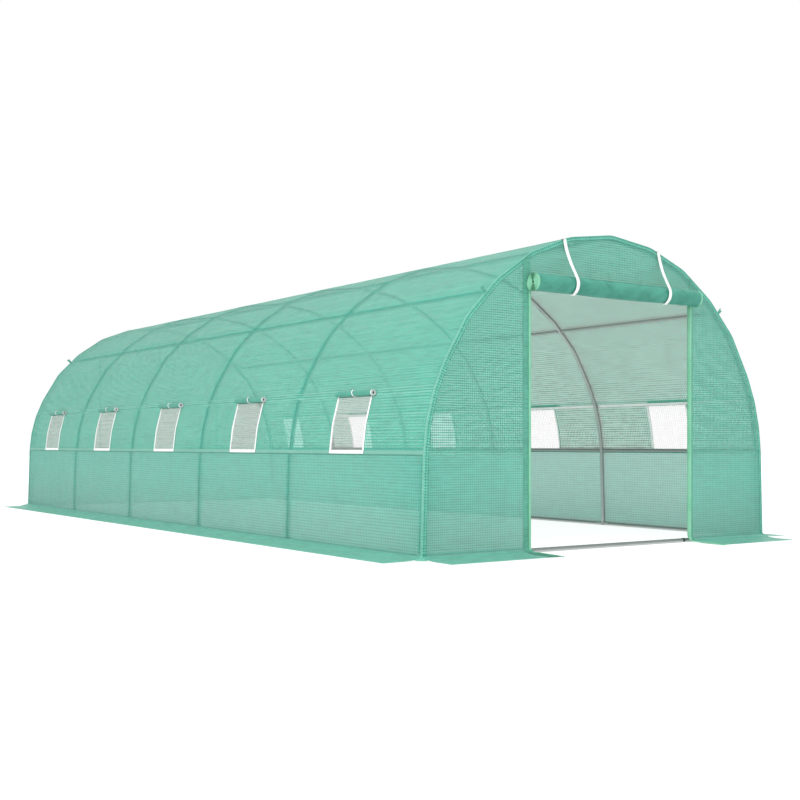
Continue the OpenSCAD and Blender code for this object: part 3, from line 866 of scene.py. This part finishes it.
def door_roll():
    phi, r = spiral_angles(ROLL_R - 0.0005, 0.011, 0.0068)
    xs = np.linspace(ROLL_X[0] + 0.008, ROLL_X[1] - 0.008, 151)
    a, x = np.meshgrid(phi, xs, indexing="ij")
    rr = np.repeat(r[:, None], len(xs), 1)
    outer = a < 2 * math.pi * 1.05
    mark = ripple(W_ROLL, x + 0.05 * np.sin(a), a * 0.058, 0.9)
    dent = ripple(W_DENT, x + 0.03 * np.sin(2 * a + 7 * x), a * 0.058, 2.2)
    rr = rr + np.where(outer, 0.0014 * mark - 0.0034 * np.maximum(0, dent - 0.2), 0.0)
    # fold is painted shade and highlight: darker in the dents, lighter where the roll bulges, lighter on top of the
    # roll than below
    fold = np.where(outer, np.clip(0.03 - 0.14 * np.maximum(0, dent - 0.2) + 0.08 * mark + 0.11 * np.sin(0.5 - a), -0.30, 0.30), 0.0)
    for sx in (-0.41, 0.41):
        rr = rr - np.where(outer, 0.0022 * np.exp(-((x - sx) / 0.03) ** 2), 0.0)
    droop = -0.0035 * np.clip(np.cos((x - 0.008) / 0.73 * math.pi), -1, 1) * 0.5
    p = np.stack([x, ROLL_Y + rr * np.cos(-a), ROLL_Z + droop + rr * np.sin(-a)], -1)
    uv = np.stack([x.ravel(), np.repeat(np.concatenate([[0], np.cumsum(0.5 * (r[1:] + r[:-1]) * np.diff(phi))]), len(xs))], 1)
    return build("front_door_rolled_sheet", p.reshape(-1, 3), grid_faces(len(phi), len(xs)), ROLLED, uv, True, "rolled_film", fold=fold.ravel())


roll = door_roll()
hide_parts("front_door_roll")


def spiral_tape(cy, cz, r_out, r_in, pitch, thick, x0, x1, axis, sign=1, start=0.0):
    """Edge tape of a rolled sheet: a flat coil of tape, as thick as its layers lie."""
    phi, r = spiral_angles(r_out, r_in, pitch)
    c, s = np.cos(-phi * sign + start), np.sin(-phi * sign + start)
    if axis == "x":
        path = np.stack([np.full_like(phi, x0), cy + r * c, cz + r * s], 1)
        radial = np.stack([np.zeros_like(phi), c, s], 1)
        side = np.tile([1.0, 0, 0], (len(phi), 1))
    else:
        path = np.stack([cy + r * c, np.full_like(phi, x0), cz + r * s], 1)
        radial = np.stack([c, np.zeros_like(phi), s], 1)
        side = np.tile([0, 1.0, 0], (len(phi), 1))
    w = x1 - x0
    e = thick * 0.3
    sec = np.array([(0.0, -e), (e, 0.0), (w - e, 0.0), (w, -e), (w, -thick + e), (w - e, -thick), (e, -thick), (0.0, -thick + e)])
    return sweep(path, side, radial, sec)


coil = Heap()
for x0, x1 in ((ROLL_X[0] - 0.002, ROLL_X[0] + 0.012), (ROLL_X[1] - 0.012, ROLL_X[1] + 0.002)):
    v, f, uv = spiral_tape(ROLL_Y, ROLL_Z, ROLL_R + 0.0006, 0.012, 0.0068, 0.0054, x0, x1, "x")
    coil.take(v, f, uv)
coil_p = np.vstack(coil.v)
turn = np.arctan2(coil_p[:, 2] - ROLL_Z, coil_p[:, 1] - ROLL_Y)
# fold is painted shade: darker wedges straight above and below the roll's axis
roll_edges = build("front_door_roll_edges", coil_p, coil.f, COIL, np.vstack(coil.uv), True, "zip_binding",
                   fold=0.15 - 0.40 * np.abs(np.sin(turn + 0.05)) ** 9)

# ---------------------------------------------------------------- door straps
straps = Heap()
clips = Heap()
for sx in (-0.41, 0.41):
    pts = smooth_path([(-HALF_L - 0.0030, 1.943), (-HALF_L - 0.006, 1.920), (-HALF_L - 0.022, 1.865), (-HALF_L - 0.052, 1.795),
                       (-HALF_L - 0.092, 1.725), (ROLL_Y - 0.057, 1.680), (ROLL_Y - 0.0625, 1.648), (ROLL_Y - 0.052, 1.614),
                       (ROLL_Y - 0.026, 1.590), (ROLL_Y - 0.010, 1.5865)], 8)
    path = np.stack([np.full(len(pts), sx), pts[:, 0], pts[:, 1]], 1)
    path[:, 0] += 0.004 * np.sin(np.linspace(0, 3.2, len(pts))) + (0.016 * step(pts[:, 1], 1.68, 1.94) if sx > 0 else 0.0)
    d = np.gradient(path, axis=0)
    d /= np.linalg.norm(d, axis=1)[:, None]
    sd = np.tile([1.0, 0, 0], (len(pts), 1))
    up = np.cross(sd, d)
    up = np.where((up[:, 1:2] > 0) & (pts[:, 1:2] > 1.62), -up, up)
    v, f, uv = sweep(path, sd, -np.cross(d, sd) * -1.0, tape_section(0.026, 0.0022))
    straps.take(v, f, uv)
    z0, sx = 1.938, sx + (0.016 if sx > 0 else 0.0)
    box_path = np.array([[sx - 0.026, -HALF_L - 0.003, z0], [sx - 0.020, -HALF_L - 0.004, z0 + 0.001], [sx - 0.012, -HALF_L - 0.004, z0 + 0.001]])
    dd = np.gradient(box_path, axis=0)
    dd /= np.linalg.norm(dd, axis=1)[:, None]
    upv = np.tile([0, -1.0, 0], (3, 1))
    clips.take(*sweep(box_path, np.cross(upv, dd), upv, tape_section(0.008, 0.004)))
door_straps = straps.build("front_door_strap_tapes", WHITE, True, "white_webbing")
strap_clips = clips.build("front_strap_hooks", BOLT, False, "galvanised_tube")
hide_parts("front_door_straps")


# ---------------------------------------------------------------- windows
def along(i):
    a, b = np.array(ARCH[i]), np.array(ARCH[i + 1])
    return (b - a) / np.linalg.norm(b - a), np.linalg.norm(b - a)


d5, l5 = along(5)
FLAP_C = np.array(ARCH[5]) + d5 * (l5 - 0.014) + np.array([-d5[1], d5[0]]) * (FLAP_R + 0.001)
net_sheets, flap_sheets = [], []
for nm, s in (("left", -1), ("right", 1)):
    nets, frames_, flaps, edges_, ties, hollow_shade_cores = Heap(), Heap(), Heap(), Heap(), Heap(), Heap()
    for wi, wy in enumerate(WIN_Y[s]):
        # net
        vs = np.linspace(V_TOP - 0.006, V_RAIL + 0.004, 26)
        ys = np.linspace(wy - WIN_W / 2 - 0.004, wy + WIN_W / 2 + 0.004, 26)
        a, b = np.meshgrid(s * vs, ys, indexing="ij")
        mask = np.sin(math.pi * (np.abs(a) - vs[0]) / (vs[-1] - vs[0])) * np.sin(math.pi * (b - ys[0]) / (ys[-1] - ys[0]))
        p = surf(a, b, -0.0008 - 0.004 * mask)
        fs = grid_faces(26, 26)
        nets.take(p.reshape(-1, 3), fs if s < 0 else [f[::-1] for f in fs], np.stack([b.ravel(), a.ravel()], 1))
        # binding frame: two uprights and the foot
        for e in (-1, 1):
            v = np.linspace(V_TOP - 0.010, V_RAIL + 0.0125, 24)
            y = np.full_like(v, wy + e * (FRAME_HALF - 0.0078))
            n = normal_at(s * v)
            sd = np.tile([0, 1.0, 0], (len(v), 1))
            vt, fc, uv = sweep(surf(s * v, y, 0.0006), sd, n, tape_section(0.0156, 0.0026))
            frames_.take(vt, fc if s > 0 else [q[::-1] for q in fc], uv)
            vt, fc, uv = sweep(surf(s * v, y, -0.0026), sd, -n, tape_section(0.0156, 0.0018))
            frames_.take(vt, fc if s < 0 else [q[::-1] for q in fc], uv)
        y = np.linspace(wy - FRAME_HALF, wy + FRAME_HALF, 20)
        v = np.full_like(y, V_RAIL + 0.0020)
        path = surf(s * v, y, 0.0010)
        n = normal_at(s * v)
        ad = np.cross(n, np.tile([0, 1.0, 0], (len(y), 1)))
        vt, fc, uv = sweep(path, ad, n, tape_section(0.0215, 0.0028))
        frames_.take(vt, fc, uv)
        # rolled flap
        cx, cz = s * FLAP_C[0], FLAP_C[1]
        phi, r = spiral_angles(FLAP_R - 0.0004, 0.0045, 0.0033)
        ry = wy - 0.020
        yl = np.linspace(ry - 0.211, ry + 0.211, 38)
        a, b = np.meshgrid(phi, yl, indexing="ij")
        outer = a < 2 * math.pi * 1.05
        rr = np.repeat(r[:, None], len(yl), 1) + np.where(outer, 0.0006 * ripple(W_ROLL, b * 1.7 + wi + s, a * 0.02, 0.8), 0)
        rr = rr - np.where(outer, 0.0016 * np.exp(-((b - ry) / 0.012) ** 2), 0)
        ang = math.pi - s * 0 + 0.4
        c_, s_ = np.cos(ang - a), np.sin(ang - a)
        p = np.stack([cx - s * -1.0 * rr * c_ * 1.0, b, cz + rr * s_], -1)
        uvf = np.stack([b.ravel(), np.repeat(np.concatenate([[0], np.cumsum(0.5 * (r[1:] + r[:-1]) * np.diff(phi))]), len(yl))], 1)
        fs = grid_faces(len(phi), len(yl))
        flaps.take(p.reshape(-1, 3), fs if s > 0 else [f[::-1] for f in fs], uvf)
        for y0, y1, ro in ((ry - 0.2150, ry - 0.2065, FLAP_R + 0.0008), (ry + 0.2100, ry + 0.2120, FLAP_R - 0.0030)):
            edges_.take(*spiral_tape(cx, cz, ro, 0.0074, 0.0033, 0.0021, y0, y1, "y"))
        # near-black cores filling the rolls' hollow ends: painted shade
        for y0, y1 in ((ry - 0.2130, ry - 0.2060), (ry + 0.2060, ry + 0.2116)):
            hollow_shade_cores.take(*sweep([[cx, y0, cz], [cx, y1, cz]], np.tile([1.0, 0, 0], (2, 1)), np.tile([0, 0, 1.0], (2, 1)), circle(0.0074, 16)))
        # tie
        t = np.linspace(0, 2 * math.pi, 41)
        rt = FLAP_R - 0.0006 + 0.004 * np.maximum(0, np.sin(t)) ** 2
        path = np.stack([cx + rt * np.cos(t), np.full_like(t, ry + 0.002) + 0.006 * np.sin(t), cz + rt * np.sin(t)], 1)
        up = np.stack([np.cos(t), np.zeros_like(t), np.sin(t)], 1)
        sd = np.tile([0, 1.0, 0], (len(t), 1))
        vt, fc, uv = sweep(path, sd, up, tape_section(0.0095, 0.0018), caps=False)
        ties.take(vt, fc, uv)
    o_net = nets.build(nm + "_window_net_sheets", NET, True, "insect_net")
    o_frame = frames_.build(nm + "_window_bindings", WHITE, True, "white_webbing")
    o_flap = flaps.build(nm + "_window_rolled_flaps", ROLLED, True, "rolled_film")
    o_edge = edges_.build(nm + "_window_flap_edges", GREY_EDGE, True, "white_webbing")
    o_tie = ties.build(nm + "_window_tie_loops", WHITE, True, "white_webbing")
    o_hollow_shade = hollow_shade_cores.build(nm + "_window_roll_hollows", PLUG_AND_HOLLOW_SHADE, True, "rolled_film")
    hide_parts(nm + "_window_nets")
    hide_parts(nm + "_window_frames")
    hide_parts(nm + "_window_rolls")
    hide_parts(nm + "_window_ties")
    net_sheets.append(o_net)
    flap_sheets.append((o_flap, o_edge))

# ---------------------------------------------------------------- tie tabs
tabs = Heap()
for s in (-1, 1):
    for end in (-1, 1):
        p0 = surf(s * (V_PURLIN + 0.022), end * 3.630, 0.001)
        n = normal_at(np.array(s * (V_PURLIN + 0.022)))
        t = np.array([n[2], 0.0, -n[0]])
        for lean, reach in ((-1, 0.046), (1, 0.042)):
            pts = smooth_path([p0 + t * lean * q + n * reach * f + np.array([0, end * 0.004 * f * f, 0])
                               for q, f in ((0.0040, -0.05), (0.0046, 0.25), (0.0058, 0.62), (0.0078, 1.0))], 6)
            d = np.gradient(pts, axis=0)
            d /= np.linalg.norm(d, axis=1)[:, None]
            sd = np.tile(t, (len(pts), 1))
            tabs.take(*sweep(pts, sd, np.cross(d, sd), tape_section(0.0118, 0.003)))
tab_ob = tabs.build("tie_tab_loops", STRIP, True, "rolled_film")
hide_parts("tie_tabs")


# ---------------------------------------------------------------- frame tubes
def offset_arch(depth):
    pts = [np.array(q) for q in ARCH]
    dirs = [(b - a) / np.linalg.norm(b - a) for a, b in zip(pts[:-1], pts[1:])]
    ins = [np.array([d[1], -d[0]]) for d in dirs]
    out = [pts[0] + np.array([0, depth / ins[0][1]])]
    for i in range(1, len(pts) - 1):
        out.append(pts[i] + depth * (ins[i - 1] + ins[i]) / (1 + ins[i - 1] @ ins[i]))
    n, d = ins[-1], dirs[-1]
    out.append(pts[-1] + depth * n - d * (depth * n[1] / d[1]))
    return out


half = offset_arch(TUBE_DEPTH)
line = [np.array((-q[0], q[1])) for q in half[:0:-1]] + half
hoop_line, hoop_mids = rounded(line, [0.045] * len(line), 0.06, 7)
hd = np.gradient(hoop_line, axis=0)
hd /= np.linalg.norm(hd, axis=1)[:, None]
hs = np.concatenate([[0], np.cumsum(np.linalg.norm(np.diff(hoop_line, axis=0), axis=1))])
hoop_normal = np.stack([-hd[:, 1], np.zeros(len(hd)), hd[:, 0]], 1)
hoop_side = np.tile([0, 1.0, 0], (len(hd), 1))


def collar(heap, c, axis, ref, r, length, outer=0.0):
    """Short sleeve with soft edges round a tube."""
    axis = np.asarray(axis, float)
    ref = np.asarray(ref, float)
    other = np.cross(axis, ref)
    st = [(-0.5, -0.0012), (-0.49, 0.0), (-0.4, 0.0), (0.4, 0.0), (0.49, 0.0), (0.5, -0.0012)]
    path = np.array([c + axis * length * k for k, _ in st])
    secs = np.array([circle(r + dr, 18) for _, dr in st])
    # outer paints shade, and below zero a highlight, on the sleeve's side towards ref
    heap.take(*sweep(path, np.tile(ref, (len(st), 1)), np.tile(other, (len(st), 1)), secs),
              outer=outer * np.tile(np.maximum(0, circle(1.0, 18)[:, 0]), len(st)) if outer else None)


def hex_bolt(heap, c, axis, af, h):
    """Bolt head on a washer."""
    axis = np.asarray(axis, float) / np.linalg.norm(axis)
    ref = np.cross(axis, [0.3, 0.9, 0.1])
    ref /= np.linalg.norm(ref)
    other = np.cross(axis, ref)
    for r, m, z0, z1 in ((af * 0.85, 14, 0.0, 0.0014), (af * 0.577, 6, 0.0014, 0.0014 + h)):
        path = np.array([c + axis * z0, c + axis * (z1 - 0.0006), c + axis * z1])
        secs = np.array([circle(r, m), circle(r, m), circle(r * 0.88, m)])
        heap.take(*sweep(path, np.tile(ref, (3, 1)), np.tile(other, (3, 1)), secs))


# painted shade on a hoop's outward face, towards the cover
HOOP_PAINTED_SHADE = np.sqrt(np.maximum(0, circle(1.0, 18)[:, 1]))
# painted shade over most of a base rail and a painted highlight along its underside
BASE_RAIL_PAINTED_SHADE_HIGHLIGHT = np.where(circle(1.0, 18)[:, 1] > -0.30, 0.25, -0.12)
bolts = Heap()
for k, y in enumerate(HOOP_Y):
    h = Heap()
    path = np.stack([hoop_line[:, 0], np.full(len(hoop_line), y), hoop_line[:, 1]], 1)
    # middle hoops: painted shade on the outward face and a faint painted highlight on the inner face higher up; end
    # hoops: a painted highlight on the outward face
    h.take(*sweep(path, hoop_side, hoop_normal, circle(TUBE_R, 18)), outer=(np.where(HOOP_PAINTED_SHADE > 0.02, HOOP_PAINTED_SHADE, -0.09 * step(path[:, 2], 0.95, 1.35)[:, None]).ravel() if k not in (0, 5)
                 else np.tile(-0.8 * np.maximum(0, circle(1.0, 18)[:, 1]), len(path))))
    # swaged joints between the hoop's lengths of tube
    for corner in (4, 7, 11, 14):
        i = hoop_mids[corner] + 5
        c, d, n = path[i], np.array([hd[i, 0], 0, hd[i, 1]]), hoop_normal[i]
        # the sleeves carry the same painted shade, and on the end hoops the painted highlight
        collar(h, c, d, n, TUBE_R + 0.0011, 0.075, -0.8 if k in (0, 5) else 1.0)
        hex_bolt(bolts, c - n * (TUBE_R + 0.0008), -n, 0.008, 0.0035)
    ob = h.build("hoop_%d_bent_tube" % (k + 1), STEEL, True, "galvanised_tube")
    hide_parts("hoop_%d" % (k + 1))

RAILS = {"ridge_pole": (half[0], 1), "upper_purlin": (np.array(ARCH[3]) + along(3)[0] * PURLIN_DROP + np.array([along(3)[0][1], -along(3)[0][0]]) * TUBE_DEPTH, 2),
         "side_rail": (half[8], 2), "base_rail": (np.array((half[9][0], TUBE_R)), 2)}
# painted shade on a rail's face towards the cover, a painted highlight where the value is below zero, and painted shade
# on a side rail's inward face
OUTER_PAINTED_SHADE_HIGHLIGHT = {"ridge_pole": 1.0, "upper_purlin": 0.36, "side_rail": -0.8}
INNER_PAINTED_SHADE = {"ridge_pole": 0.0, "upper_purlin": 0.0, "side_rail": 0.26}
for key, (c, many) in RAILS.items():
    for s in ((1,) if many == 1 else (-1, 1)):
        node = key if many == 1 else ("left_" if s < 0 else "right_") + key
        h = Heap()
        x, z = s * c[0], c[1]
        inward = np.array([-x, 0.0, 0.9 - z])
        inward /= np.linalg.norm(inward)
        for a, b in zip(HOOP_Y[:-1], HOOP_Y[1:]):
            y0, y1 = a + TUBE_R * 0.75, b - TUBE_R * 0.75
            ys = np.array([y0, y0 + 0.004, y0 + 0.03, y0 + 0.06, y1 - 0.06, y1 - 0.03, y1 - 0.004, y1])
            path = np.stack([np.full(8, x), ys, np.full(8, z)], 1)
            ref = np.cross([0, 1.0, 0], inward)
            low_dir = -np.array([ref[2], inward[2]])
            flat = [0.62, 0.62, 0.80, 1.0, 1.0, 0.80, 0.62, 0.62] if key != "base_rail" else [1.0] * 8
            secs = np.array([circle(TUBE_R, 18) * np.array([1.0 + (1 - q) * 0.18 * (key != "base_rail"), q]) for q in flat])
            # painted shade and highlight on the tube faces; a side base rail gets painted shade, and a painted
            # highlight along its underside
            h.take(*sweep(path, np.tile(ref, (8, 1)), np.tile(inward, (8, 1)), secs),
                   outer=np.tile(OUTER_PAINTED_SHADE_HIGHLIGHT[key] * np.maximum(0, -circle(1.0, 18)[:, 1]) + INNER_PAINTED_SHADE[key] * np.sqrt(np.maximum(0, circle(1.0, 18)[:, 1])), 8) if key != "base_rail" else np.tile(np.where(secs[0] @ low_dir > 0.30 * TUBE_R, -0.12, 0.22), 8))
            if key != "base_rail":
                for yb in (y0 + 0.014, y1 - 0.014):
                    hex_bolt(bolts, np.array([x, yb, z]) + inward * TUBE_R * 0.60, inward, 0.009, 0.004)
            else:
                for yb, sg in ((y0, 1), (y1, -1)):
                    collar(h, np.array([x, yb + sg * 0.030, z + 0.0012]), np.array([0, 1.0, 0]), np.array([1.0, 0, 0]), TUBE_R + 0.0010, 0.05)
        ob = h.build(node + "_tube", STEEL, True, "galvanised_tube")
        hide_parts(node)

plugs = Heap()
for nm, end in (("front", -1), ("back", 1)):
    h = Heap()
    x1 = half[9][0] - TUBE_R * 0.75
    y = end * 3.60
    path = np.array([[-x1, y, TUBE_R], [-x1 + 0.05, y, TUBE_R], [0, y, TUBE_R], [x1 - 0.05, y, TUBE_R], [x1, y, TUBE_R]])
    n = len(path)
    h.take(*sweep(path, np.tile([0, 1.0, 0], (n, 1)), np.tile([0, 0, 1.0], (n, 1)), circle(TUBE_R, 18)), outer=np.tile(BASE_RAIL_PAINTED_SHADE_HIGHLIGHT, n))
    for x in (-x1 + 0.03, x1 - 0.03):
        collar(h, np.array([x, y, TUBE_R + 0.0012]), np.array([1.0, 0, 0]), np.array([0, 1.0, 0]), TUBE_R + 0.0010, 0.05)
    collar(plugs, np.array([JAMB[1] - 0.022, y, TUBE_R + 0.0008]), np.array([1.0, 0, 0]), np.array([0, 1.0, 0]), TUBE_R + 0.0006, 0.020)
    ob = h.build(nm + "_base_rail_tube", STEEL, True, "galvanised_tube")
    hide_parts(nm + "_base_rail")
plug_ob = plugs.build("threshold_sleeves", PLUG_AND_HOLLOW_SHADE, True, "galvanised_tube")
bolt_ob = bolts.build("frame_bolts", BOLT, False, "galvanised_tube")


def area_of(poly):
    x, y = poly[:, 0], poly[:, 1]
    return 0.5 * abs(float(np.dot(x, np.roll(y, -1)) - np.dot(y, np.roll(x, -1))))


def declare(ob, poly):
    area_of(poly)


declare(front_left, side_poly(-1))
declare(front_right, side_poly(1))
declare(front_top, top_poly(ROLL_Z - 0.002))
declare(back_left, side_poly(-1))
declare(back_right, side_poly(1))
declare(back_door, top_poly(CREASE_Z + 0.002))

# ---------------------------------------------------------------- floor, light
k = Nodes("studio_floor")
where = k.place()
spots = k.noise(where, 0.6, 4.0)
pale = k.mix(k.ramp(spots, 0.3, 0.7, 0.0, 1.0), rgba(0.37, 0.37, 0.37), rgba(0.40, 0.40, 0.40))
floor_mat = k.out(k.principled(Base_Color=pale, Roughness=0.85, Specular_IOR_Level=0.1, Emission_Color=rgba(1.0, 1.0, 1.0), Emission_Strength=0.78))
me = bpy.data.meshes.new("studio_floor")
R = 60.0
ring = [(R * math.cos(t), R * math.sin(t), 0.0) for t in np.linspace(0, 2 * math.pi, 64, endpoint=False)]
me.from_pydata(ring, [], [tuple(range(64))])
me.materials.append(floor_mat)
floor = bpy.data.objects.new("studio_floor", me)
scene.collection.objects.link(floor)

world = bpy.data.worlds.new("studio")
scene.world = world
world.use_nodes = True
bg = world.node_tree.nodes.get("Background") or world.node_tree.nodes.new("ShaderNodeBackground")
bg.inputs[0].default_value = (1.0, 1.0, 1.0, 1.0)
bg.inputs[1].default_value = 1.0


def lamp(name, kind, energy, loc, target, **props):
    d = bpy.data.lights.new(name, kind)
    d.energy = energy
    for a, b in props.items():
        setattr(d, a, b)
    o = bpy.data.objects.new(name, d)
    scene.collection.objects.link(o)
    o.location = loc
    o.rotation_euler = (Vector(target) - Vector(loc)).to_track_quat("-Z", "Y").to_euler()


lamp("soft_key", "SUN", 0.62, (-6.0, -5.0, 9.0), (0, 0, 0.6), angle=math.radians(50))
lamp("soft_box", "AREA", 115.0, (-6.2, -5.4, 4.0), (-1.4, -2.2, 0.8), shape="DISK", size=3.2)
